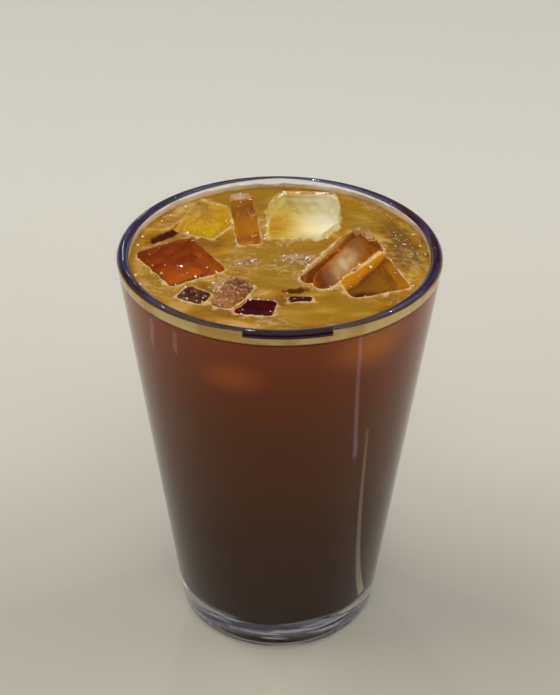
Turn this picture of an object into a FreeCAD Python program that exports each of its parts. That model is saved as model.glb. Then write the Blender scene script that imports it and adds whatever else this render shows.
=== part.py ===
"""Iced americano in its tapered tumbler: glass, coffee, foam and floating ice.

Millimetres, +Z up. The origin is the middle of the ring that the tumbler stands on.
The drinker's side is -Y. Each ice block is named for where it floats as seen from there.
"""
import FreeCAD, Part
import os
from collections import namedtuple
from math import atan, atan2, cos, degrees, radians, sin, sqrt, tan

# ---- driving dimensions -------------------------------------------------------------
# Tumbler
height = 121.8            # table to the top of the lip
rim_radius = 45.0         # widest radius, at the lip
base_radius = 29.4        # where the side's line would meet the table
wall = 3.4                # thickness across the wall, and so across the round lip
base_thickness = 8.6      # table to the inner floor
heel_radius = 3.2         # rounding where the side turns under
floor_radius = 5.0        # rounding inside, between the floor and the wall
foot_width = 3.4          # width of the flat ring that touches the table
punt_depth = 1.4          # height of the hollow under the base

# Drink
headspace = 3.4           # lip down to the top of the foam
foam_thickness = 1.3      # foam under its flat top
meniscus_radius = 1.2     # hollow curve with which the foam climbs the wall

# Ice
ice_draft = 3.0           # degrees, from the tray that the cubes froze in
ice_gap = 0.6             # drink between two blocks, and between a block and the wall

# ---- ice blocks ---------------------------------------------------------------------
# side and reach: the block's middle, from the tumbler's axis to +X and to +Y
# rise: its highest corner above the foam, before that corner melted
# long, wide, deep: its size at the top face; round: radius of its melted edges
# dish: depth of the hollow melted into the middle of its top face
# heading: its long side, turned from +X towards +Y; roll: turn about its long side
# tip: how far its top faces the drinker
Ice = namedtuple("Ice", "name side reach rise long wide deep round dish heading roll tip")
ICE = (
    Ice("ice_left", -27.2, -3.3, 2.0, 20.8, 17.8, 16.0, 1.2, 0.3, -58.0, 0.0, 2.0),
    Ice("ice_ridge", 16.4, -3.0, 7.9, 30.0, 13.4, 13.0, 3.0, 1.0, 57.0, 45.0, 6.0),
    Ice("ice_back_right", 6.8, 23.0, 4.0, 24.5, 21.0, 17.0, 2.0, 0.6, 88.0, 0.0, 4.5),
    Ice("ice_right", 23.6, -8.8, 1.9, 23.0, 18.0, 15.0, 2.0, 0.4, -70.0, 0.0, 1.0),
    Ice("ice_back_middle", -9.9, 19.6, 4.8, 25.0, 7.2, 13.0, 1.4, 0.5, 98.0, 0.0, 8.0),
    Ice("ice_back_left", -21.0, 20.6, 4.0, 17.5, 14.0, 14.0, 2.0, 1.0, 62.0, 0.0, 8.0),
    Ice("ice_front", -12.9, -20.3, 3.0, 15.5, 8.6, 10.0, 2.4, 0.5, 70.0, 8.0, 3.0),
    Ice("ice_front_dark", -6.2, -27.0, 1.3, 11.0, 8.0, 9.0, 1.4, 0.0, -8.0, 0.0, 2.0),
    Ice("ice_left_front", -22.7, -21.2, 1.6, 8.6, 7.6, 8.0, 1.8, 0.3, -30.0, 0.0, 4.0),
    Ice("ice_chip", 5.6, -22.6, 0.9, 6.6, 3.2, 5.0, 0.9, 0.0, -4.0, 0.0, 4.0),
)

# ---- worked out ---------------------------------------------------------------------
lip_radius = wall / 2
slope = (rim_radius - base_radius) / (height - lip_radius)
taper = atan(slope)
inner_offset = wall / cos(taper)
foam_top = height - headspace
coffee_top = foam_top - foam_thickness


def vector(radius, z):
    """Point of a profile in the XZ plane."""
    return FreeCAD.Vector(radius, 0, z)


def outer_radius(z):
    """Radius of the tumbler's outer side at height z."""
    return base_radius + slope * z


def inner_radius(z):
    """Radius of the tumbler's inner side at height z."""
    return outer_radius(z) - inner_offset


def corner_arc(before, corner, after, radius):
    """Arc of the given radius that rounds a corner between two straight runs."""
    back = (before - corner).normalize()
    ahead = (after - corner).normalize()
    half = back.getAngle(ahead) / 2
    bisector = (back + ahead).normalize()
    start = corner + back * (radius / tan(half))
    end = corner + ahead * (radius / tan(half))
    middle = corner + bisector * (radius / sin(half) - radius)
    return start, middle, end


def revolve(edges):
    """Solid of revolution about Z from the edges of a closed profile."""
    face = Part.Face(Part.Wire(edges))
    return face.revolve(FreeCAD.Vector(0, 0, 0), FreeCAD.Vector(0, 0, 1), 360)


def line(start, end):
    return Part.LineSegment(start, end).toShape()


def arc(start, middle, end):
    return Part.Arc(start, middle, end).toShape()


def make_glass():
    """Tapered tumbler with a full-round lip, a thick base and a shallow punt."""
    lip_z = height - lip_radius
    lip_centre = vector(rim_radius - lip_radius, lip_z)
    across = FreeCAD.Vector(cos(taper), 0, -sin(taper)) * lip_radius
    lip_out = lip_centre + across
    lip_in = lip_centre - across
    lip_top = lip_centre + FreeCAD.Vector(0, 0, lip_radius)
    lip_halfway = 1 / sqrt(2)
    lip_shoulder = lip_centre + FreeCAD.Vector(lip_halfway, 0, lip_halfway) * lip_radius
    lip_brow = lip_centre + FreeCAD.Vector(-lip_halfway, 0, lip_halfway) * lip_radius

    heel = corner_arc(vector(0, 0), vector(base_radius, 0), lip_out, heel_radius)
    floor_corner = vector(inner_radius(base_thickness), base_thickness)
    floor = corner_arc(lip_in, floor_corner, vector(0, base_thickness), floor_radius)

    foot_outer = heel[0].x
    foot_inner = foot_outer - foot_width
    punt_radius = (foot_inner ** 2 + punt_depth ** 2) / (2 * punt_depth)
    half_angle = atan(foot_inner / (punt_radius - punt_depth)) / 2
    punt_middle = vector(punt_radius * sin(half_angle),
                         punt_depth - punt_radius * (1 - cos(half_angle)))
    return revolve([
        arc(vector(0, punt_depth), punt_middle, vector(foot_inner, 0)),
        line(vector(foot_inner, 0), heel[0]),
        arc(*heel),
        line(heel[2], lip_out),
        arc(lip_out, lip_shoulder, lip_top),
        arc(lip_top, lip_brow, lip_in),
        line(lip_in, floor[0]),
        arc(*floor),
        line(floor[2], vector(0, base_thickness)),
        line(vector(0, base_thickness), vector(0, punt_depth)),
    ])


def make_coffee():
    """Everything between the inner floor and the foam, before the ice is let in."""
    surface_edge = vector(inner_radius(coffee_top), coffee_top)
    floor_corner = vector(inner_radius(base_thickness), base_thickness)
    floor = corner_arc(surface_edge, floor_corner, vector(0, base_thickness), floor_radius)
    return revolve([
        line(vector(0, base_thickness), floor[2]),
        arc(floor[2], floor[1], floor[0]),
        line(floor[0], surface_edge),
        line(surface_edge, vector(0, coffee_top)),
        line(vector(0, coffee_top), vector(0, base_thickness)),
    ])


def make_foam():
    """Thin disc of foam that climbs the wall at its edge, before the ice is let in."""
    lower_edge = vector(inner_radius(coffee_top), coffee_top)
    corner = vector(inner_radius(foam_top), foam_top)
    wall_above = vector(inner_radius(height), height)
    creep = corner_arc(wall_above, corner, vector(0, foam_top), meniscus_radius)
    return revolve([
        line(vector(0, coffee_top), lower_edge),
        line(lower_edge, creep[0]),
        arc(*creep),
        line(creep[2], vector(0, foam_top)),
        line(vector(0, foam_top), vector(0, coffee_top)),
    ])


def top_corners(ice):
    """Sharp corners of a block's top face, about the block's own middle."""
    x = ice.long / 2
    y = ice.wide / 2
    z = ice.deep / 2
    return [FreeCAD.Vector(-x, -y, z), FreeCAD.Vector(x, -y, z),
            FreeCAD.Vector(x, y, z), FreeCAD.Vector(-x, y, z)]


def block_place(ice):
    """Where a block floats: turned about its middle, then set to its height."""
    roll = FreeCAD.Rotation(FreeCAD.Vector(1, 0, 0), ice.roll)
    turn = FreeCAD.Rotation(FreeCAD.Vector(0, 0, 1), ice.heading)
    tip = FreeCAD.Rotation(FreeCAD.Vector(1, 0, 0), ice.tip)
    attitude = tip * turn * roll
    top = max(attitude.multVec(corner).z for corner in top_corners(ice))
    middle = FreeCAD.Vector(ice.side, ice.reach, foam_top + ice.rise - top)
    return FreeCAD.Placement(middle, attitude)


def make_block(ice, grow=0.0):
    """Tray-cast block with melted edges, in place. grow moves every face outwards."""
    shrink = ice.deep * tan(radians(ice_draft))
    outlines = []
    for inset, drop in ((0.0, -grow), (shrink, ice.deep + grow)):
        outline = []
        for corner in top_corners(ice):
            x = corner.x - (inset - grow) * (1 if corner.x > 0 else -1)
            y = corner.y - (inset - grow) * (1 if corner.y > 0 else -1)
            outline.append(FreeCAD.Vector(x, y, corner.z - drop))
        outlines.append(Part.makePolygon(outline + outline[:1]))
    block = Part.makeLoft(outlines, True, True)
    block = block.makeFillet(ice.round + grow, block.Edges)
    block.Placement = block_place(ice)
    return block


def make_dish(ice):
    """Ball that melts the hollow into a block's top face, inside its rounded edge."""
    reach = ice.wide / 2 - ice.round
    ball_radius = (reach ** 2 + ice.dish ** 2) / (2 * ice.dish)
    centre = FreeCAD.Vector(0, 0, ice.deep / 2 + ball_radius - ice.dish)
    return Part.makeSphere(ball_radius, block_place(ice).multVec(centre))


def make_room(ice):
    """Space that a block may fill: the hollow of the tumbler, less the gap.

    The cone's seam is turned to the side away from the block, so that no cut meets it.
    """
    low = base_thickness + ice_gap
    high = height + rim_radius
    inset = ice_gap / cos(taper)
    room = Part.makeCone(inner_radius(low) - inset, inner_radius(high) - inset, high - low,
                         FreeCAD.Vector(0, 0, low))
    room.rotate(FreeCAD.Vector(0, 0, 0), FreeCAD.Vector(0, 0, 1),
                degrees(atan2(-ice.reach, -ice.side)))
    return room


def make_ice():
    """All blocks by name. One that leans on an earlier block is melted away there."""
    blocks = {}
    placed = []
    for ice in ICE:
        block = make_block(ice).common(make_room(ice))
        if ice.dish > 0:
            block = block.cut(make_dish(ice))
        for other in placed:
            if block.BoundBox.intersect(other.BoundBox):
                block = block.cut(other)
        blocks[ice.name] = max(block.Solids, key=lambda solid: solid.Volume)
        placed.append(make_block(ice, ice_gap))
    return blocks


def main():
    parts = make_ice()
    foam = make_foam()
    coffee = make_coffee()
    for block in list(parts.values()):
        foam = foam.cut(block)
        coffee = coffee.cut(block)
    parts["foam"] = foam
    parts["coffee"] = coffee
    parts["glass"] = make_glass()

    os.makedirs("parts", exist_ok=True)
    for name, shape in parts.items():
        solids = shape.Solids
        print(name, len(solids), "solid", round(shape.Volume), "mm3", shape.isValid())
        shape = solids[0] if len(solids) == 1 else shape
        shape.exportStep("parts/" + name + ".step")


main()
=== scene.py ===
"""Visual model of an iced americano in its tapered tumbler.

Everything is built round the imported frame, in metres. The tumbler and the drink are
profiles turned about the upright axis, the ice is the frame's own blocks with melted
surfaces, and the drink is hollowed out where the ice floats in it.
"""
from __future__ import annotations

import logging
from dataclasses import dataclass, replace
from enum import Enum, IntEnum
from math import atan, cos, pi, radians, sin, sqrt, tan

import bmesh
import bpy
import numpy as np
from mathutils import Matrix, Quaternion, Vector


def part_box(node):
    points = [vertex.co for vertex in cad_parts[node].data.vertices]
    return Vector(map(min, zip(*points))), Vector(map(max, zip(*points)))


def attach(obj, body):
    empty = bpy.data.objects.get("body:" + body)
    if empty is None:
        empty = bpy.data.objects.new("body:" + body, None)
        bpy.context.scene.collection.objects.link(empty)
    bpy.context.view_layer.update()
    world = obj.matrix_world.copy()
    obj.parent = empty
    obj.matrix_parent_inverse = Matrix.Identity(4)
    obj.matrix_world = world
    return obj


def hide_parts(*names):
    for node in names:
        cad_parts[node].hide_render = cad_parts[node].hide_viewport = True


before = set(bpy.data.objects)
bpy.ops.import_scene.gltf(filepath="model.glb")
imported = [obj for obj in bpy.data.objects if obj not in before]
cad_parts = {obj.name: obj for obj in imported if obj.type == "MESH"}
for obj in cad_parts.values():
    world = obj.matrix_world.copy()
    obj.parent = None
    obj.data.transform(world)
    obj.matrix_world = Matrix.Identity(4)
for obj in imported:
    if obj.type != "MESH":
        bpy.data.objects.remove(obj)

LOG = logging.getLogger("americano")
MM = 0.001
BODY = "root"
ICE_BITE = 0.12 * MM

Place = tuple[float, float]
Triple = tuple[float, float, float]
Colour = tuple[float, float, float, float]
Socket = bpy.types.NodeSocket
BLACK: Colour = (0.0, 0.0, 0.0, 1.0)
WHITE: Colour = (1.0, 1.0, 1.0, 1.0)


class Seed(IntEnum):
    """Seeds of the random draws. Those of the blocks and patches are added to a number."""

    FOAM_BROAD = 3
    FOAM_FINE = 4
    BUBBLE_PLACES = 5
    FOAM_FRINGE = 8
    BUBBLE_LOOKS = 9
    FOAM_STREAKS = 21
    ICE_FINE = 50
    FOAM_PATCHES = 60
    ICE_RAGGED = 90


# ---- numbers and meshes ---------------------------------------------------------------
def linear(red: int, green: int, blue: int) -> Colour:
    """Turn a display colour of 0 to 255 a channel into a linear colour.

    Args:
        red: Red channel.
        green: Green channel.
        blue: Blue channel.

    Returns:
        Linear red, green and blue, and an alpha of 1.
    """
    shares = np.array([red, green, blue]) / 255
    bright = ((shares + 0.055) / 1.055) ** 2.4
    colour = np.where(shares <= 0.04045, shares / 12.92, bright)
    return (*colour.tolist(), 1.0)


def fillet(before: np.ndarray, corner: np.ndarray, after: np.ndarray, radius: float,
           steps: int) -> np.ndarray:
    """Points of the arc that rounds a corner of a profile.

    The arc's centre lies on the corner's bisector, radius / sin(half the angle) away.
    Its points are the centre plus the radius turned evenly from one tangent point to
    the other.

    Args:
        before: A point on the run into the corner.
        corner: The corner.
        after: A point on the run out of the corner.
        radius: Radius of the arc.
        steps: Number of points.

    Returns:
        An array of points, one row each.
    """
    back = (before - corner) / np.linalg.norm(before - corner)
    ahead = (after - corner) / np.linalg.norm(after - corner)
    half = np.arccos(np.clip(back @ ahead, -1, 1)) / 2
    centre = corner + (back + ahead) / np.linalg.norm(back + ahead) * radius / sin(half)
    first = corner + back * radius / tan(half) - centre
    last = corner + ahead * radius / tan(half) - centre
    sweep = pi - 2 * half
    share = np.linspace(0, 1, steps)[:, None]
    return centre + (np.sin((1 - share) * sweep) * first
                     + np.sin(share * sweep) * last) / sin(sweep)


def run(start: np.ndarray, end: np.ndarray, step: float) -> np.ndarray:
    """Evenly spaced points of a straight run, without its two ends.

    Args:
        start: First end.
        end: Last end.
        step: Greatest distance between neighbours.

    Returns:
        An array of points, one row each.
    """
    count = max(int(np.linalg.norm(end - start) / step), 1)
    share = np.linspace(0, 1, count + 1)[1:-1, None]
    return start + (end - start) * share


def waves(points: np.ndarray, wavelength: float, seed: int, count: int = 14) -> np.ndarray:
    """Smooth uneven field between about -1 and 1.

    It is the sum of sine waves that run in random directions, with wavelengths up to
    a third shorter or longer than the given one and random phases, over the square
    root of their number.

    Args:
        points: Places to work it out at, one row each.
        wavelength: Typical distance between two crests.
        seed: Seed of the random draws.
        count: Number of sine waves.

    Returns:
        One value for each point.
    """
    draw = np.random.default_rng(seed)
    aims = draw.normal(size=(count, points.shape[1]))
    aims /= np.linalg.norm(aims, axis=1, keepdims=True)
    lengths = wavelength * draw.uniform(0.67, 1.33, count)
    phases = draw.uniform(0, 2 * pi, count)
    total = np.sin(2 * pi * (points @ aims.T) / lengths + phases).sum(1)
    return total / sqrt(count)


def scene_object(name: str, data: bpy.types.ID) -> bpy.types.Object:
    """New object of the scene that holds the given mesh, light or camera."""
    thing = bpy.data.objects.new(name, data)
    bpy.context.scene.collection.objects.link(thing)
    return thing


def mesh_object(name: str, points: np.ndarray, faces: list[np.ndarray]) -> bpy.types.Object:
    """Put whole arrays of points and faces into a new smooth mesh object.

    Args:
        name: Name of the object.
        points: Vertices, one row each.
        faces: Arrays of faces, each with one row of vertex numbers a face.

    Returns:
        The object, at the origin of the scene.
    """
    mesh = bpy.data.meshes.new(name)
    corners = np.concatenate([part.ravel() for part in faces]).astype(np.int32)
    sizes = np.concatenate([np.full(len(part), part.shape[1]) for part in faces])
    starts = np.concatenate([[0], np.cumsum(sizes)[:-1]]).astype(np.int32)
    mesh.vertices.add(len(points))
    mesh.vertices.foreach_set("co", points.astype(np.float32).ravel())
    mesh.loops.add(len(corners))
    mesh.loops.foreach_set("vertex_index", corners)
    mesh.polygons.add(len(sizes))
    mesh.polygons.foreach_set("loop_start", starts)
    mesh.polygons.foreach_set("use_smooth", np.ones(len(sizes), bool))
    mesh.update(calc_edges=True)
    mesh.validate()
    return scene_object(name, mesh)


def lathe(profile: np.ndarray, turns: int) -> tuple[np.ndarray, list[np.ndarray]]:
    """Turn a profile about the upright axis into a closed skin.

    Each profile point (r, z) gives a ring of points (r cos t, r sin t, z) with t evenly
    spaced. The first and last points lie on the axis and give one pole each.

    Args:
        profile: Radius and height of each point, from the lower pole round the outside.
        turns: Number of points in a ring.

    Returns:
        The points, and the arrays of quads and triangles.
    """
    angle = np.linspace(0, 2 * pi, turns, endpoint=False)
    radius = profile[1:-1, 0][:, None]
    height = np.repeat(profile[1:-1, 1][:, None], turns, 1)
    rings = np.stack([radius * np.cos(angle), radius * np.sin(angle), height], -1)
    poles = np.array([[0, 0, profile[0, 1]], [0, 0, profile[-1, 1]]])
    points = np.concatenate([rings.reshape(-1, 3), poles])
    number = np.arange(len(radius) * turns).reshape(len(radius), turns)
    onward = np.roll(number, -1, 1)
    quads = np.stack([number[:-1], onward[:-1], onward[1:], number[1:]], -1).reshape(-1, 4)
    low, high = len(points) - 2, len(points) - 1
    first = np.stack([np.full(turns, low), onward[0], number[0]], -1)
    last = np.stack([np.full(turns, high), number[-1], onward[-1]], -1)
    return points, [quads, np.concatenate([first, last])]


def vertex_array(mesh: bpy.types.Mesh, what: str = "co") -> np.ndarray:
    """Vertex places or normals of a mesh.

    Args:
        mesh: The mesh.
        what: "co" for places or "normal" for normals.

    Returns:
        One row for each vertex.
    """
    values = np.empty(len(mesh.vertices) * 3, np.float32)
    mesh.vertices.foreach_get(what, values)
    return values.reshape(-1, 3).astype(float)


def move_points(mesh: bpy.types.Mesh, places: np.ndarray) -> None:
    """Move the vertices of a mesh to new places, one row each."""
    mesh.vertices.foreach_set("co", places.astype(np.float32).ravel())


def shade_smooth(mesh: bpy.types.Mesh) -> None:
    """Shade a mesh smooth and bring it up to date."""
    mesh.polygons.foreach_set("use_smooth", np.ones(len(mesh.polygons), bool))
    mesh.update()


def add_mark(mesh: bpy.types.Mesh, name: str, values: np.ndarray) -> None:
    """Give a mesh an attribute that its finish reads.

    Args:
        mesh: The mesh.
        name: Name of the attribute.
        values: One value for each vertex.
    """
    mark = mesh.attributes.new(name, "FLOAT", "POINT")
    mark.data.foreach_set("value", values.astype(np.float32))


def bake_modifiers(thing: bpy.types.Object) -> None:
    """Replace an object's mesh by what its modifiers make of it.

    Args:
        thing: The object, which loses its modifiers.
    """
    bpy.context.view_layer.update()
    graph = bpy.context.evaluated_depsgraph_get()
    made = bpy.data.meshes.new_from_object(thing.evaluated_get(graph))
    thing.modifiers.clear()
    old = thing.data
    thing.data = made
    bpy.data.meshes.remove(old)


# ---- material nodes -------------------------------------------------------------------
class Sheet:
    """Node tree of one material, with short calls to add and join nodes."""

    def __init__(self, name: str) -> None:
        """Start an empty material.

        Args:
            name: Name of the material.
        """
        self.material = bpy.data.materials.new(name)
        self.material.use_nodes = True
        self.tree = self.material.node_tree
        self.tree.nodes.clear()
        self.output = self.node("ShaderNodeOutputMaterial")

    def node(self, kind: str, inputs: dict | None = None,
             **settings: str) -> bpy.types.Node:
        """Add a node.

        Args:
            kind: Node type.
            inputs: Input name or number to a value or to another node's output.
            **settings: Properties of the node.

        Returns:
            The node.
        """
        made = self.tree.nodes.new(kind)
        for key, value in settings.items():
            setattr(made, key, value)
        for key, value in (inputs or {}).items():
            if isinstance(value, bpy.types.NodeSocket):
                self.tree.links.new(value, made.inputs[key])
            else:
                made.inputs[key].default_value = value
        return made

    def place(self) -> Socket:
        """Object coordinates."""
        return self.node("ShaderNodeTexCoord").outputs["Object"]

    def split(self, vector: Socket) -> bpy.types.bpy_prop_collection:
        """X, Y and Z of a vector."""
        return self.node("ShaderNodeSeparateXYZ", {0: vector}).outputs

    def join(self, x: Socket | float, y: Socket | float, z: Socket | float) -> Socket:
        """Vector with the given X, Y and Z."""
        return self.node("ShaderNodeCombineXYZ", {0: x, 1: y, 2: z}).outputs[0]

    def upward(self) -> Socket:
        """How far the surface faces up: 1 on a flat top, 0 on a wall, -1 underneath."""
        return self.split(self.node("ShaderNodeNewGeometry").outputs["Normal"])[2]

    def mark(self, name: str) -> Socket:
        """Value of one of the piece's own attributes."""
        return self.node("ShaderNodeAttribute", attribute_name=name).outputs["Fac"]

    def maths(self, operation: str, first: Socket | float, second: Socket | float = 0.0,
              third: Socket | float = 0.0) -> Socket:
        """Do a maths operation on numbers or outputs.

        Args:
            operation: Name of the operation.
            first: First number.
            second: Second number, where the operation has one.
            third: Third number, where the operation has one.

        Returns:
            The result.
        """
        made = self.node("ShaderNodeMath", {0: first, 1: second, 2: third},
                         operation=operation)
        return made.outputs[0]

    def times(self, first: Socket, *others: Socket | float) -> Socket:
        """Multiply an output by others or by numbers.

        Args:
            first: The output.
            *others: What to multiply it by, one after the other.

        Returns:
            The product.
        """
        for other in others:
            first = self.maths("MULTIPLY", first, other)
        return first

    def vectors(self, operation: str, first: Socket, second: Triple = (0.0, 0.0, 0.0),
                output: str = "Vector") -> Socket:
        """Do a maths operation on vectors.

        Args:
            operation: Name of the operation.
            first: First vector.
            second: Second vector, where the operation has one.
            output: Which result to give, "Vector" or "Value".

        Returns:
            The result.
        """
        made = self.node("ShaderNodeVectorMath", {0: first, 1: second},
                         operation=operation)
        return made.outputs[output]

    def span(self, value: Socket, low: float, high: float, smooth: bool = True) -> Socket:
        """Share of the way from low to high, held between 0 and 1.

        Args:
            value: What is compared with the two ends.
            low: Value at which the share is 0.
            high: Value at which it is 1. It may be the smaller of the two.
            smooth: Whether the share eases in and out.

        Returns:
            The share.
        """
        kind = "SMOOTHSTEP" if smooth else "LINEAR"
        made = self.node("ShaderNodeMapRange", {0: value, 1: low, 2: high},
                         interpolation_type=kind)
        return made.outputs[0]

    def noise(self, vector: Socket, scale: float, detail: float = 3.0, rough: float = 0.5,
              bend: float = 0.0) -> Socket:
        """Noise between 0 and 1.

        Args:
            vector: Coordinates.
            scale: Waves per metre.
            detail: Number of finer layers.
            rough: Strength of each layer against the one before.
            bend: How far the pattern is twisted.

        Returns:
            The noise.
        """
        made = self.node("ShaderNodeTexNoise", {"Vector": vector, "Scale": scale,
                                                "Detail": detail, "Roughness": rough,
                                                "Distortion": bend})
        return made.outputs["Fac"]

    def patches(self, vector: Socket, scale: float, low: float, high: float,
                detail: float = 3.0, rough: float = 0.5, bend: float = 0.0) -> Socket:
        """Patches where a noise is above a level.

        Args:
            vector: Coordinates.
            scale: Waves per metre.
            low: Noise at which a patch begins.
            high: Noise at which it is full.
            detail: Number of finer layers.
            rough: Strength of each layer against the one before.
            bend: How far the pattern is twisted.

        Returns:
            Their share, from 0 to 1.
        """
        return self.span(self.noise(vector, scale, detail, rough, bend), low, high)

    def mix(self, share: Socket, first: Socket | Colour, second: Socket | Colour) -> Socket:
        """Blend two colours.

        Args:
            share: Share of the second colour.
            first: First colour.
            second: Second colour.

        Returns:
            The blend.
        """
        made = self.node("ShaderNodeMix", {0: share, 6: first, 7: second},
                         data_type="RGBA", blend_type="MIX")
        return made.outputs[2]

    def ramp(self, value: Socket, stops: tuple[tuple[float, Colour], ...]) -> Socket:
        """Colour of a ramp.

        Args:
            value: Place on the ramp, from 0 to 1.
            stops: Place and colour of each stop.

        Returns:
            The colour.
        """
        made = self.node("ShaderNodeValToRGB", {0: value})
        fill_ramp(made.color_ramp, stops)
        return made.outputs[0]

    def bump(self, height: Socket, strength: float, distance: float) -> Socket:
        """Normal bent by a height.

        Args:
            height: The height, from 0 to 1.
            strength: Share of the bend that is kept.
            distance: Height of 1, in metres.

        Returns:
            The normal.
        """
        made = self.node("ShaderNodeBump", {"Strength": strength, "Distance": distance,
                                            "Height": height})
        return made.outputs[0]

    def principled(self, inputs: dict) -> Socket:
        """Shader of a solid surface, with the given values or outputs by input name."""
        return self.node("ShaderNodeBsdfPrincipled", inputs).outputs[0]

    def cover(self, share: Socket, below: Socket, above: Socket) -> Socket:
        """Lay one shader over another.

        Args:
            share: Share of the surface that is covered.
            below: Shader below.
            above: Shader that covers it.

        Returns:
            The mixed shader.
        """
        return self.node("ShaderNodeMixShader", {0: share, 1: below, 2: above}).outputs[0]

    def finish(self, shader: Socket) -> bpy.types.Material:
        """Join a shader to the output and return the material."""
        self.tree.links.new(shader, self.output.inputs["Surface"])
        return self.material

    def finish_clear(self, shader: Socket, tint: Colour) -> bpy.types.Material:
        """Finish a clear material, whose shadow is tinted and not black.

        Args:
            shader: The clear shader.
            tint: Colour that its shadow keeps.

        Returns:
            The material.
        """
        ray = self.node("ShaderNodeLightPath").outputs["Is Shadow Ray"]
        thin = self.node("ShaderNodeBsdfTransparent", {"Color": tint}).outputs[0]
        return self.finish(self.cover(ray, shader, thin))


def fill_ramp(ramp: bpy.types.ColorRamp, stops: tuple[tuple[float, Colour], ...]) -> None:
    """Give a colour ramp its stops.

    Args:
        ramp: The ramp, new and with two stops.
        stops: Place and colour of each stop.
    """
    while len(ramp.elements) < len(stops):
        ramp.elements.new(0.5)
    for element, (position, colour) in zip(ramp.elements, stops):
        element.position = position
        element.color = colour


# ---- finishes -------------------------------------------------------------------------
@dataclass(frozen=True)
class Glow:
    """Soft patch of another colour in the drink or the ice. In the coffee, and in the coffee
    seen through the ice, most patches are painted light and a few painted shade; in the
    ice's own skin they are milky patches, some of them painted highlights.

    reach is its radius, and flat is how many times lower than wide it is. weight is the
    share of its colour at its place.
    """

    place: Triple
    reach: float
    flat: float
    colour: Colour
    weight: float


def add_glows(sheet: Sheet, place: Socket, drift: Socket, colour: Socket | Colour,
              glows: tuple[Glow, ...]) -> Socket | Colour:
    """Blend soft patches over a colour.

    Each fades out over the distance from its place, with heights stretched by its
    flatness and the distance shifted by a noise.

    Args:
        sheet: Node tree to work in.
        place: Coordinates.
        drift: The noise, between 0 and 1.
        colour: The colour below.
        glows: The patches.

    Returns:
        The blended colour.
    """
    for glow in glows:
        offset = sheet.vectors("SUBTRACT", place, glow.place)
        offset = sheet.vectors("MULTIPLY", offset, (1, 1, glow.flat))
        away = sheet.vectors("LENGTH", offset, output="Value")
        away = sheet.maths("MULTIPLY_ADD", drift, glow.reach / 2, away)
        patch = sheet.span(away, glow.reach * 1.25, glow.reach * 0.3)
        colour = sheet.mix(sheet.times(patch, glow.weight), colour, glow.colour)
    return colour


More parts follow.
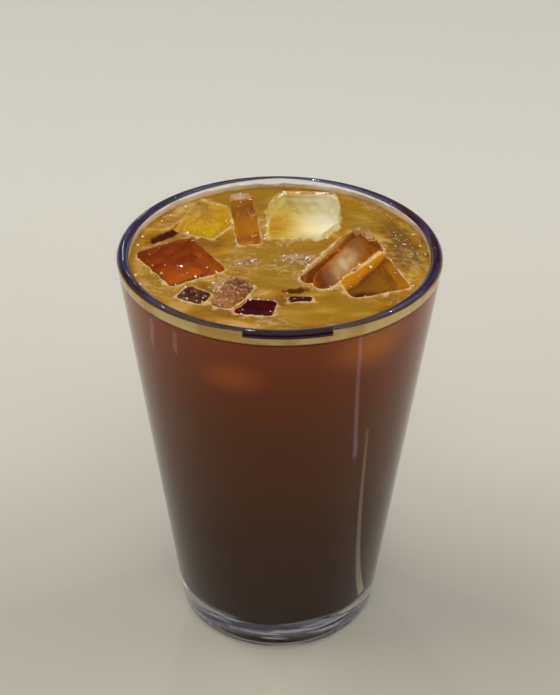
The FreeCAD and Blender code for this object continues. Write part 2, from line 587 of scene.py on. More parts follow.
@dataclass(frozen=True)
class ClearGlass:
    """Polished glass: a painted dark reflection on the crest of the lip, a milky film above
    the drink, and a foot that is cooler, darkened as painted shade and streaked with
    painted highlights.

    The film is what the foam left on the inner wall. A dark maroon patch on the outside
    of the lip, at the front, is painted shade: the dark coffee seen through the glass.
    """

    height: float
    rim_radius: float
    foot: float
    drink_top: float
    index: float = 1.5
    sheen: Colour = (0.7, 0.65, 0.6, 1.0)
    body: Colour = linear(252, 252, 250)
    shadow: Colour = (0.93, 0.93, 0.92, 1.0)
    # foot: a cooler tint that also darkens it as painted shade, and pale streaks of painted
    # highlight
    foot_tint_and_shade: Colour = linear(196, 195, 208)
    foot_highlight: Colour = linear(216, 216, 230)
    streak_share: float = 0.6
    streak_scale: float = 60.0
    streak_flat: float = 14.0
    # film
    film: float = 0.8
    film_dark: Colour = linear(162, 120, 58)
    film_pale: Colour = linear(222, 192, 136)
    film_ragged: float = 1.6 * MM
    brush_scale: float = 70.0
    brush_fine: float = 20.0
    # crest: painted dark reflection on the top of the lip, with paler painted highlights
    crest: float = 0.24 * MM
    crest_gain: float = 0.02
    rim_shade: float = 0.9
    navy: Colour = linear(36, 37, 62)
    pale_navy: Colour = linear(70, 72, 116)
    maroon: Colour = linear(42, 14, 16)
    # painted shade: the dark coffee seen through the front of the lip
    coffee_shade: Colour = linear(30, 1, 2)
    coffee_shade_centre: float = 2.2 * MM
    coffee_shade_reach: float = 11.3 * MM
    coffee_shade_drop: float = 1.5 * MM
    coffee_shade_inset: float = 1.7 * MM

    def clear(self, sheet: Sheet, place: Socket) -> Socket:
        """Clear glass, cooler in the thick foot and darker there as painted shade, with pale
        streaks of painted highlight.

        Args:
            sheet: Node tree to work in.
            place: Coordinates.

        Returns:
            The shader.
        """
        x, y, height = sheet.split(place)
        low = sheet.span(height, self.foot * 1.7, self.foot)
        clear = sheet.principled({
            "Base Color": sheet.mix(low, self.body, self.foot_tint_and_shade), "Roughness": 0.0,
            "IOR": self.index, "Transmission Weight": 1.0, "Specular Tint": self.sheen})
        layers = sheet.join(x, y, sheet.times(height, self.streak_flat))
        streaks = sheet.patches(layers, self.streak_scale, 0.52, 0.64)
        # pale streaks of painted highlight in the foot
        pale = sheet.principled({"Base Color": self.foot_highlight, "Roughness": 0.1})
        return sheet.cover(sheet.times(streaks, low, self.streak_share), clear, pale)

    def film_share(self, sheet: Sheet, place: Socket, radius: Socket) -> Socket:
        """How much of the milky film covers the inner wall above the drink.

        Args:
            sheet: Node tree to work in.
            place: Coordinates.
            radius: Distance from the upright axis.

        Returns:
            The share.
        """
        height = sheet.split(place)[2]
        edge = sheet.maths("MULTIPLY_ADD", sheet.noise(place, 160.0), self.film_ragged,
                           height)
        inside = sheet.span(radius, self.rim_radius - 2.4 * MM, self.rim_radius - 2.8 * MM)
        above = sheet.span(height, self.drink_top - 1.5 * MM, self.drink_top - 0.5 * MM)
        below = sheet.span(edge, self.height - 0.1 * MM, self.height - 0.7 * MM)
        return sheet.times(inside, above, below, self.film)

    def crest_share(self, sheet: Sheet, place: Socket) -> Socket:
        """How much of the painted dark reflection covers the top of the lip, more at the two
        sides.

        Args:
            sheet: Node tree to work in.
            place: Coordinates.

        Returns:
            The share.
        """
        x, _, height = sheet.split(place)
        raised = sheet.maths("MULTIPLY_ADD", sheet.maths("ABSOLUTE", x), self.crest_gain,
                             height)
        crest = sheet.span(raised, self.height - self.crest, self.height - self.crest / 3)
        return sheet.times(crest, self.rim_shade)

    def coffee_shade_share(self, sheet: Sheet, place: Socket, radius: Socket) -> Socket:
        """How much of the painted shade of the coffee, seen through the glass, covers the
        front of the lip.

        Args:
            sheet: Node tree to work in.
            place: Coordinates.
            radius: Distance from the upright axis.

        Returns:
            The share.
        """
        x, y, height = sheet.split(place)
        along = sheet.maths("ABSOLUTE", sheet.maths("SUBTRACT", x, self.coffee_shade_centre))
        low = self.height - self.coffee_shade_drop
        inner = self.rim_radius - self.coffee_shade_inset
        return sheet.times(sheet.span(along, self.coffee_shade_reach + 0.6 * MM, self.coffee_shade_reach),
                           sheet.span(height, low - 0.25 * MM, low),
                           sheet.span(radius, inner, inner + 0.3 * MM),
                           sheet.span(y, 0.0, -1 * MM))

    def rim_shade_colour(self, sheet: Sheet, place: Socket, brushed: Socket) -> Socket:
        """Painted dark reflection on the lip: navy, maroon in patches and at the front, where
        it stands for the coffee seen through the glass, and paler streaks of painted
        highlight.

        Args:
            sheet: Node tree to work in.
            place: Coordinates.
            brushed: Fine streaks round the lip.

        Returns:
            The colour.
        """
        patch = sheet.patches(place, 22.0, 0.5, 0.62, detail=1.0)
        front = sheet.span(sheet.split(place)[1], -0.45 * self.rim_radius,
                           -0.85 * self.rim_radius)
        patch = sheet.maths("MAXIMUM", patch, sheet.times(front, 0.8))
        pale = sheet.times(sheet.span(brushed, 0.5, 0.66), 0.6)
        return sheet.mix(pale, sheet.mix(patch, self.navy, self.maroon), self.pale_navy)

    def material(self) -> bpy.types.Material:
        """Build the material.

        Returns:
            The material.
        """
        sheet = Sheet("clear_glass")
        place = sheet.place()
        x, y, _ = sheet.split(place)
        level = sheet.vectors("MULTIPLY", place, (1.0, 1.0, 0.0))
        radius = sheet.vectors("LENGTH", level, output="Value")
        ring = sheet.join(x, y, sheet.times(radius, self.brush_fine))
        brushed = sheet.noise(ring, self.brush_scale)
        tone = sheet.mix(sheet.span(brushed, 0.35, 0.6), self.film_dark, self.film_pale)
        milky = sheet.principled({"Base Color": tone, "Roughness": 0.3,
                                  "Specular IOR Level": 0.3})
        shader = sheet.cover(self.film_share(sheet, place, radius),
                             self.clear(sheet, place), milky)
        # painted shade of the coffee on the front of the lip
        coffee_shade = self.coffee_shade_share(sheet, place, radius)
        # painted dark reflection on the crest of the lip
        dark = self.rim_shade_colour(sheet, place, brushed)
        rim_shade = sheet.principled({"Base Color": sheet.mix(coffee_shade, dark, self.coffee_shade),
                                  "Roughness": 0.025, "Specular IOR Level": 0.6})
        share = sheet.maths("MAXIMUM", self.crest_share(sheet, place), coffee_shade)
        return sheet.finish_clear(sheet.cover(share, shader, rim_shade), self.shadow)


@dataclass(frozen=True)
class WetIce:
    """Melting ice, clear with a fine ripple, or frosted with bubbles.

    Its milky patches cloud the block's skin; along the ridge block some are painted
    highlights.
    """

    name: str
    frost: float = 0.0
    milk_and_highlights: tuple[Glow, ...] = ()
    index: float = 1.31
    tint: Colour = linear(253, 250, 242)
    rime: Colour = linear(214, 178, 136)
    shadow: Colour = (0.95, 0.93, 0.9, 1.0)
    ripple_scale: float = 420.0
    grain_scale: float = 1500.0
    crystal_scale: float = 1100.0
    cloud_scale: float = 260.0

    def cloud(self, sheet: Sheet, place: Socket, below: Socket) -> Socket:
        """Lay the milky patches, some of them painted highlights, over a shader.

        Args:
            sheet: Node tree to work in.
            place: Coordinates.
            below: The shader.

        Returns:
            The mixed shader.
        """
        drift = sheet.noise(place, self.cloud_scale, 4.0)
        full = tuple(replace(glow, weight=1.0) for glow in self.milk_and_highlights)
        colour = add_glows(sheet, place, drift, self.rime, full)
        white = tuple(replace(glow, colour=WHITE) for glow in self.milk_and_highlights)
        share = add_glows(sheet, place, drift, BLACK, white)
        cloud = sheet.principled({"Base Color": colour, "Roughness": 0.12})
        return sheet.cover(share, below, cloud)

    def material(self) -> bpy.types.Material:
        """Build the material.

        Returns:
            The material.
        """
        sheet = Sheet(self.name)
        place = sheet.place()
        ripple = sheet.noise(place, self.ripple_scale)
        grain = sheet.noise(place, self.grain_scale, 2.0)
        height = sheet.maths("MULTIPLY_ADD", grain, 0.1 + 1.2 * self.frost, ripple)
        normal = sheet.bump(height, 0.05 + 0.7 * self.frost, 0.3 * MM)
        shader = sheet.principled({
            "Base Color": self.tint, "Roughness": 0.12 * self.frost, "IOR": self.index,
            "Transmission Weight": 1.0, "Normal": normal})
        if self.frost:
            crystals = sheet.patches(place, self.crystal_scale, 0.52, 0.64, rough=0.7)
            rime = sheet.principled({"Base Color": self.rime, "Roughness": 0.3,
                                     "Normal": normal})
            shader = sheet.cover(sheet.times(crystals, 0.7 * self.frost), shader, rime)
        if self.milk_and_highlights:
            shader = self.cloud(sheet, place, shader)
        return sheet.finish_clear(shader, self.shadow)


@dataclass(frozen=True)
class Hues:
    """Colours of the coffee seen through one block of ice, with painted light and shade in
    them: bright and pale where light comes through the back wall into the block, deep
    reds where it looks into deep coffee, and glows of painted light and shade in spots.

    near and far belong to its left and right side just under the surface, and deep_near
    and deep_far to the same sides at the bottom of the block. The veil is melt water
    and milky air clouding the ice, by the share that cloud gives.
    """

    near: Colour
    far: Colour
    deep_near: Colour
    deep_far: Colour
    cloud: float = 0.2
    veil: Colour = linear(214, 176, 96)
    glows: tuple[Glow, ...] = ()


@dataclass(frozen=True)
class Pocket:
    """Coffee seen through a block of ice: one pair of colours above, another below."""

    name: str
    hues: Hues
    left: float
    right: float
    surface: float
    depth: float = 13 * MM
    swash: float = 3 * MM
    drift: float = 6 * MM
    drift_scale: float = 160.0
    veil_scale: float = 230.0

    def material(self) -> bpy.types.Material:
        """Build the material.

        Returns:
            The material.
        """
        sheet = Sheet(self.name)
        place = sheet.place()
        x, _, z = sheet.split(place)
        drift = sheet.noise(place, self.drift_scale, 4.0)
        across = sheet.maths("MULTIPLY_ADD", drift, self.drift, x)
        side = sheet.span(across, self.left + 5 * MM, self.right + 1 * MM)
        level = sheet.maths("MULTIPLY_ADD", drift, self.drift, z)
        top = self.surface + self.swash
        share = sheet.span(level, top - self.depth, top, smooth=False)
        # painted light and shade: colours of the coffee seen through the ice
        hues = self.hues
        high = sheet.mix(side, hues.near, hues.far)
        deep = sheet.mix(side, hues.deep_near, hues.deep_far)
        colour = sheet.mix(share, deep, high)
        veil = sheet.patches(place, self.veil_scale, 0.54, 0.7, 6.0, 0.65, 1.2)
        colour = sheet.mix(sheet.times(veil, hues.cloud), colour, hues.veil)
        colour = add_glows(sheet, place, drift, colour, hues.glows)
        return sheet.finish(sheet.principled({
            "Base Color": colour, "Roughness": 1.0, "Specular IOR Level": 0.0}))


@dataclass(frozen=True)
class Coffee:
    """Black coffee: reddish brown under the foam, nearly black at the bottom.

    Its underside mirrors at a low angle, as it does through a thick glass base. Its glows
    are painted light that the submerged ice lets into the coffee, and the darker band just
    under the foam is painted shade.
    """

    low: float
    high: float
    depths: tuple[tuple[float, Colour], ...] = (
        (0.04, linear(44, 10, 1)), (0.3, linear(66, 27, 2)), (0.45, linear(82, 43, 5)),
        (0.6, linear(99, 46, 11)), (0.72, linear(107, 53, 13)),
        (0.82, linear(128, 51, 4)), (0.96, linear(144, 58, 2)))
    # painted light: orange glows where the submerged ice lets light into the coffee
    glows: tuple[Glow, ...] = (
        Glow((-12 * MM, -40 * MM, 105 * MM), 13 * MM, 1.9, linear(190, 92, 2), 0.75),
        Glow((25 * MM, -35 * MM, 112 * MM), 16 * MM, 1.5, linear(204, 122, 4), 0.8),
        Glow((34 * MM, 0 * MM, 110 * MM), 22 * MM, 1.6, linear(164, 84, 6), 0.5),
    )
    drift: float = 8 * MM
    drift_scale: float = 45.0
    # painted shade: a darker band just under the foam
    brim_shade: Colour = linear(56, 26, 8)
    speck: Colour = linear(40, 14, 4)
    speck_scale: float = 95.0
    haze: Colour = (1.0, 0.82, 0.65, 1.0)
    mirror: Colour = (0.92, 0.88, 0.8, 1.0)

    def specks(self, sheet: Sheet, place: Socket) -> Socket:
        """Small dark specks, in half of the cells of a cell pattern.

        Args:
            sheet: Node tree to work in.
            place: Coordinates.

        Returns:
            Their share, from 0 to 1.
        """
        cells = sheet.node("ShaderNodeTexVoronoi", {"Vector": place,
                                                    "Scale": self.speck_scale,
                                                    "Randomness": 1.0})
        dot = sheet.span(cells.outputs["Distance"], 0.055, 0.035)
        kept = sheet.span(sheet.split(cells.outputs["Color"])[0], 0.5, 0.52)
        return sheet.times(dot, kept, 0.6)

    def material(self) -> bpy.types.Material:
        """Build the material.

        Returns:
            The material.
        """
        sheet = Sheet("coffee")
        place = sheet.place()
        height = sheet.split(place)[2]
        drift = sheet.noise(place, self.drift_scale)
        level = sheet.maths("MULTIPLY_ADD", sheet.maths("SUBTRACT", drift, 0.5), self.drift,
                            height)
        share = sheet.span(level, self.low, self.high, smooth=False)
        colour = add_glows(sheet, place, drift, sheet.ramp(share, self.depths), self.glows)
        # painted shade just under the foam
        brim_shade = sheet.span(height, self.high - 1.1 * MM, self.high - 0.3 * MM)
        colour = sheet.mix(sheet.times(brim_shade, 0.75), colour, self.brim_shade)
        colour = sheet.mix(self.specks(sheet, place), colour, self.speck)
        body = sheet.principled({
            "Base Color": colour, "Roughness": 1.0, "Specular IOR Level": 0.0,
            "Sheen Weight": 0.2, "Sheen Roughness": 0.5, "Sheen Tint": self.haze})
        gloss = sheet.node("ShaderNodeBsdfGlossy", {"Color": self.mirror,
                                                    "Roughness": 0.03}).outputs[0]
        slant = sheet.node("ShaderNodeLayerWeight", {"Blend": 0.5}).outputs["Facing"]
        under = sheet.span(sheet.upward(), -0.75, -0.95)
        low_angle = sheet.times(sheet.span(slant, 0.4, 0.52), under)
        return sheet.finish(sheet.cover(low_angle, body, gloss))


@dataclass(frozen=True)
class Foam:
    """Ochre coffee foam: smeared streaks, bubbly islands, bare coffee, pale fringes, and
    upright sides lightened as painted light.
    """

    smears: tuple[tuple[float, Colour], ...] = (
        (0.28, linear(126, 80, 14)), (0.42, linear(148, 100, 12)),
        (0.55, linear(156, 110, 18)), (0.66, linear(174, 129, 42)),
        (0.76, linear(190, 149, 84)))
    smear_scale: float = 60.0
    streak_gain: float = 0.17
    froth_grain: Colour = linear(186, 140, 38)
    olive: Colour = linear(146, 112, 30)
    lace: Colour = linear(198, 164, 116)
    froth_dark: Colour = linear(112, 80, 50)
    froth_pale: Colour = linear(172, 140, 104)
    # partly painted highlight: the foam along the ice is lightened as a highlight on its edge
    fringe: Colour = linear(200, 172, 118)
    thin: Colour = linear(104, 76, 30)
    bare: Colour = linear(70, 20, 8)
    # painted light: the upright sides of the foam, seen through the wall, are far paler than
    # its top
    lit_flank_dark: Colour = linear(236, 186, 94)
    lit_flank_pale: Colour = linear(254, 226, 148)

    def skin(self, sheet: Sheet, place: Socket, grain: Socket) -> Socket:
        """Colour of whole foam: smears, a fine grain, broad patches and pale lace.

        Args:
            sheet: Node tree to work in.
            place: Coordinates.
            grain: Fine noise.

        Returns:
            The colour.
        """
        stretch = sheet.node("ShaderNodeMapping", {"Vector": place,
                                                   "Scale": (1.0, 2.2, 1.0)}).outputs[0]
        swirl = sheet.noise(stretch, self.smear_scale, 4.0, 0.55, 0.8)
        value = sheet.maths("MULTIPLY_ADD", sheet.mark("streak"), self.streak_gain, swirl)
        colour = sheet.ramp(value, self.smears)
        colour = sheet.mix(sheet.times(sheet.span(grain, 0.5, 0.75), 0.2), colour,
                           self.froth_grain)
        broad = sheet.patches(place, 30.0, 0.48, 0.62, detail=2.0)
        colour = sheet.mix(sheet.times(broad, 0.6), colour, self.olive)
        crease = sheet.maths("SUBTRACT", sheet.noise(stretch, 130.0, 5.0, 0.6, 1.4), 0.5)
        crease = sheet.span(sheet.maths("ABSOLUTE", crease), 0.035, 0.005)
        lace = sheet.times(crease, sheet.patches(place, 50.0, 0.48, 0.6, detail=2.0), 0.6)
        return sheet.mix(lace, colour, self.lace)

    def material(self) -> bpy.types.Material:
        """Build the material.

        Returns:
            The material.
        """
        sheet = Sheet("foam")
        place = sheet.place()
        grain = sheet.noise(place, 520.0, 4.0, 0.6)
        colour = self.skin(sheet, place, grain)
        cell = sheet.node("ShaderNodeTexVoronoi", {"Vector": place, "Scale": 900.0})
        froth = sheet.mix(sheet.span(cell.outputs["Distance"], 0.2, 0.6), self.froth_dark,
                          self.froth_pale)
        colour = sheet.mix(sheet.mark("bubbly"), colour, froth)
        # pale fringe along the ice, partly paler foam and partly painted highlight
        colour = sheet.mix(sheet.mark("near_ice"), colour, self.fringe)
        holes = sheet.patches(place, 240.0, 0.34, 0.54, 4.0, 0.6, 0.6)
        colour = sheet.mix(sheet.times(sheet.mark("thin"), holes), colour, self.thin)
        bare = sheet.mark("bare")
        colour = sheet.mix(bare, colour, self.bare)
        # painted light: paler colour on the foam's upright sides
        lit_flank = sheet.mix(sheet.patches(place, 70.0, 0.4, 0.6, detail=4.0), self.lit_flank_dark,
                          self.lit_flank_pale)
        colour = sheet.mix(sheet.span(sheet.upward(), 0.5, 0.2), colour, lit_flank)
        rough = sheet.maths("MULTIPLY_ADD", bare, -0.28, 0.33)
        return sheet.finish(sheet.principled({
            "Base Color": colour, "Roughness": rough, "Specular IOR Level": 0.1,
            "Normal": sheet.bump(grain, 0.3, 0.2 * MM)}))


@dataclass(frozen=True)
class BubbleSkin:
    """Thin wet skin of a foam bubble, ochre or, where its attribute says so, white as a
    painted glint.
    """

    colour: Colour = linear(206, 170, 108)
    deep: Colour = linear(176, 134, 70)
    white: Colour = linear(255, 250, 236)

    def material(self) -> bpy.types.Material:
        """Build the material.

        Returns:
            The material.
        """
        sheet = Sheet("bubble_skin")
        tone = sheet.patches(sheet.place(), 160.0, 0.4, 0.6, detail=2.0)
        colour = sheet.mix(tone, self.colour, self.deep)
        # painted glints: white bubbles and drops
        colour = sheet.mix(sheet.mark("pale"), colour, self.white)
        return sheet.finish(sheet.principled({
            "Base Color": colour, "Roughness": 0.12, "Coat Weight": 0.6,
            "Coat Roughness": 0.05}))


@dataclass(frozen=True)
class PaleTable:
    """Pale glossy table top, darker towards the drinker as painted shade."""

    near: Colour = linear(180, 175, 158)
    far: Colour = linear(216, 213, 200)

    def material(self) -> bpy.types.Material:
        """Build the material.

        Returns:
            The material.
        """
        sheet = Sheet("pale_table")
        # painted shade: darker towards the drinker
        share = sheet.span(sheet.split(sheet.place())[1], -0.2, 0.3)
        colour = sheet.mix(share, self.near, self.far)
        return sheet.finish(sheet.principled({"Base Color": colour, "Roughness": 0.3}))


# ---- the tumbler ----------------------------------------------------------------------
@dataclass(frozen=True)
class Tumbler:
    """Tapered tumbler with a full-round lip, a thick base and a shallow punt.

    The punt is the hollow under the base, inside the ring that the tumbler stands on.
    """

    height: float
    rim_radius: float
    base_radius: float = 29.4 * MM
    wall: float = 3.4 * MM
    base_thickness: float = 8.6 * MM
    heel_radius: float = 3.2 * MM
    floor_radius: float = 3.4 * MM
    foot_width: float = 3.4 * MM
    punt_depth: float = 1.4 * MM
    turns: int = 384
    lip_steps: int = 33
    heel_steps: int = 14
    punt_steps: int = 14
    floor_steps: int = 10

    @property
    def slope(self) -> float:
        """Gain of radius for each metre of height."""
        return (self.rim_radius - self.base_radius) / (self.height - self.wall / 2)

    def outer(self, z: float) -> float:
        """Outer radius at height z."""
        return self.base_radius + self.slope * z

    def inner(self, z: float) -> float:
        """Inner radius at height z."""
        return self.outer(z) - self.wall / cos(atan(self.slope))

    def cavity_profile(self, bite: float, top: float) -> np.ndarray:
        """Profile of what fills the tumbler up to a height.

        Args:
            bite: How far it reaches into the glass.
            top: Height of its upper edge.

        Returns:
            Radius and height of each point, from the floor's middle to the upper edge.
        """
        floor = self.base_thickness - bite
        middle = np.array([0.0, floor])
        corner = np.array([self.inner(floor) + bite, floor])
        edge = np.array([self.inner(top) + bite, top])
        bend = fillet(middle, corner, edge, self.floor_radius, self.floor_steps)
        return np.concatenate([[middle], run(middle, bend[0], 4 * MM), bend,
                               run(bend[-1], edge, 1.5 * MM), [edge]])

    def profile(self) -> np.ndarray:
        """Closed profile of the glass.

        The lip is half a circle. The punt is the cap of a ball, whose radius is the sum
        of the squares of the cap's own radius and its depth, over twice the depth.

        Returns:
            Radius and height of each point, from the punt's middle round the outside
            and the lip to the floor's middle.
        """
        taper = atan(self.slope)
        lip = self.wall / 2
        centre = np.array([self.rim_radius - lip, self.height - lip])
        turn = np.linspace(-taper, pi - taper, self.lip_steps)
        lip_arc = centre + lip * np.stack([np.cos(turn), np.sin(turn)], -1)
        heel = fillet(np.array([0.0, 0.0]), np.array([self.base_radius, 0.0]), lip_arc[0],
                      self.heel_radius, self.heel_steps)
        foot = heel[0, 0] - self.foot_width
        ball = (foot ** 2 + self.punt_depth ** 2) / (2 * self.punt_depth)
        across = np.linspace(0, foot, self.punt_steps)
        rise = self.punt_depth - ball + np.sqrt(ball ** 2 - across ** 2)
        punt = np.stack([across, rise], -1)
        cavity = self.cavity_profile(0.0, lip_arc[-1, 1])[::-1]
        return np.concatenate([punt, run(punt[-1], heel[0], 1 * MM), heel,
                               run(heel[-1], lip_arc[0], 2 * MM), lip_arc, cavity[1:]])

    def build(self, finish: ClearGlass) -> bpy.types.Object:
        """Make the glass and dress it.

        Args:
            finish: Finish of the glass.

        Returns:
            The piece.
        """
        glass = mesh_object("tumbler", *lathe(self.profile(), self.turns))
        glass.data.materials.append(finish.material())
        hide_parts("glass")
        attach(glass, BODY)
        return glass


# ---- the ice --------------------------------------------------------------------------
@dataclass(frozen=True)
class IceBlock:
    """One floating block: the frame's solid with a melted, uneven surface.

    frost is the share of the finish's frosting. The groove is melted into the top along
    the heading, in degrees. Each chop is a line in plan that takes a corner off. The milky
    patches cloud the skin, and along the ridge some of them are painted highlights.
    """

    node: str
    hues: Hues
    frost: float = 0.0
    groove: float = 0.0
    heading: float = 0.0
    groove_offset: float = 0.0
    groove_width: float = 1.0 * MM
    chops: tuple[tuple[Place, Place], ...] = ()
    milk_and_highlights: tuple[Glow, ...] = ()
    uneven: float = 0.05 * MM
    ragged: float = 0.22 * MM
    broad_wave: float = 9 * MM
    fine_wave: float = 2.2 * MM
    ragged_wave: float = 5 * MM
    voxel: float = 0.35 * MM
    smoothings: int = 4

    def furrow(self, places: np.ndarray) -> np.ndarray:
        """Depth that the groove has melted down.

        It is the groove's depth times a bell curve of the distance across the heading
        from the groove's line. It fades out below the foam.

        Args:
            places: Points of the block, one row each.

        Returns:
            One depth for each point.
        """
        low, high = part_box(self.node)
        middle = np.array([(low.x + high.x) / 2, (low.y + high.y) / 2])
        across = np.array([-sin(radians(self.heading)), cos(radians(self.heading))])
        offset = (places[:, :2] - middle) @ across
        _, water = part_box("foam")
        above = np.clip((places[:, 2] - water.z + 2 * MM) / (2 * MM), 0, 1)
        return above * self.groove * np.exp(
            -((offset - self.groove_offset) / self.groove_width) ** 2)

    def chopped(self) -> bpy.types.Mesh:
        """Copy of the frame's solid without its chopped corners.

        What lies right of each chop's line, from its first point to its last, is gone.

        Returns:
            The mesh.
        """
        mesh = bmesh.new()
        mesh.from_mesh(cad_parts[self.node].data)
        bmesh.ops.remove_doubles(mesh, verts=mesh.verts, dist=0.002 * MM)
        for (x, y), (end_x, end_y) in self.chops:
            away = Vector((end_y - y, x - end_x, 0.0)).normalized()
            everything = [*mesh.verts, *mesh.edges, *mesh.faces]
            cut = bmesh.ops.bisect_plane(mesh, geom=everything, plane_co=(x, y, 0.0),
                                         plane_no=away, clear_outer=True)
            rim = [part for part in cut["geom_cut"] if isinstance(part, bmesh.types.BMEdge)]
            bmesh.ops.contextual_create(mesh, geom=rim)
        chopped = bpy.data.meshes.new(self.node + "_melted")
        mesh.to_mesh(chopped)
        mesh.free()
        return chopped

    def build(self, seed: int) -> bpy.types.Object:
        """Make the block.

        Its points are the remeshed solid's, each moved along its normal by a broad and
        a fine field of waves, and by a third one that grows from the flat top to the
        upright sides, less the depth of the groove.

        Args:
            seed: Seed of the waves.

        Returns:
            The piece.
        """
        block = scene_object(self.node + "_melted", self.chopped())
        remesh = block.modifiers.new("remesh", "REMESH")
        remesh.mode = "VOXEL"
        remesh.voxel_size = self.voxel
        soften = block.modifiers.new("soften", "SMOOTH")
        soften.factor = 0.5
        soften.iterations = self.smoothings
        bake_modifiers(block)
        places = vertex_array(block.data)
        normals = vertex_array(block.data, "normal")
        fine = self.uneven * (0.15 + self.frost)
        swell = (waves(places, self.broad_wave, seed) * self.uneven
                 + waves(places, self.fine_wave, seed + Seed.ICE_FINE) * fine
                 + waves(places, self.ragged_wave, seed + Seed.ICE_RAGGED) * self.ragged
                 * (1 - np.abs(normals[:, 2])))
        swell -= self.furrow(places)
        move_points(block.data, places + normals * swell[:, None])
        shade_smooth(block.data)
        block.data.materials.clear()
        block.data.materials.append(WetIce("wet_" + self.node, self.frost,
                                           self.milk_and_highlights).material())
        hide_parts(self.node)
        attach(block, BODY)
        return block


def pocket_cutter(blocks: list[bpy.types.Object], finishes: list[Pocket],
                  bite: float) -> bpy.types.Object:
    """One object that hollows the drink where the blocks float.

    Its points are the blocks' own, moved inwards along their normals, so that the
    drink reaches just into the ice.

    Args:
        blocks: The ice.
        finishes: Finish of each pocket.
        bite: How far the drink reaches into the ice.

    Returns:
        The cutter, with one material for each pocket.
    """
    whole = bmesh.new()
    for number, block in enumerate(blocks):
        shrunk = block.data.copy()
        move_points(shrunk, vertex_array(shrunk) - vertex_array(shrunk, "normal") * bite)
        shrunk.materials.clear()
        shrunk.polygons.foreach_set("material_index",
                                    np.full(len(shrunk.polygons), number, np.int32))
        whole.from_mesh(shrunk)
        bpy.data.meshes.remove(shrunk)
    joined = bpy.data.meshes.new("pockets")
    whole.to_mesh(joined)
    whole.free()
    for finish in finishes:
        joined.materials.append(finish.material())
    return scene_object("pockets", joined)


def hollow(piece: bpy.types.Object, cutter: bpy.types.Object) -> None:
    """Cut the pockets out of a piece and keep their materials.

    Args:
        piece: The coffee or the foam.
        cutter: What is cut out of it.
    """
    cut = piece.modifiers.new("pockets", "BOOLEAN")
    cut.operation = "DIFFERENCE"
    cut.object = cutter
    cut.solver = "MANIFOLD"
    cut.material_mode = "TRANSFER"
    bake_modifiers(piece)
    shade_smooth(piece.data)


# ---- the drink ------------------------------------------------------------------------
class Patch(Enum):
    """Kinds of patch in the foam."""

    BUBBLY = "raised froth of fine bubbles"
    THIN = "foam so thin that the coffee shows through"
    BARE = "coffee without foam"


@dataclass(frozen=True)
class FoamPatch:
    """Elliptical patch in the foam, in plan, with a ragged edge.

    long and wide are half its length and width. tatter is how far the edge wanders, as
    a share of them, over waves as long as ragged. A firmer edge is a sharper one.
    """

    kind: Patch
    place: Place
    long: float
    wide: float
    heading: float
    weight: float = 1.0
    ragged: float = 3 * MM
    tatter: float = 0.3
    firm: float = 1.3

    def share(self, plan: np.ndarray, seed: int) -> np.ndarray:
        """How far places in plan lie within the patch, from 0 to its weight.

        It is a clipped slope of the distance from the ellipse, whose edge a field of
        waves moves.

        Args:
            plan: Places in plan, one row each.
            seed: Seed of the waves.

        Returns:
            One share for each place.
        """
        turn = radians(self.heading)
        offset = plan - np.array(self.place)
        along = (offset @ np.array([cos(turn), sin(turn)])) / self.long
        across = (offset @ np.array([-sin(turn), cos(turn)])) / self.wide
        away = np.hypot(along, across) + self.tatter * waves(plan, self.ragged, seed)
        return np.clip(0.4 + (1 - away) * self.firm, 0, 1) * self.weight


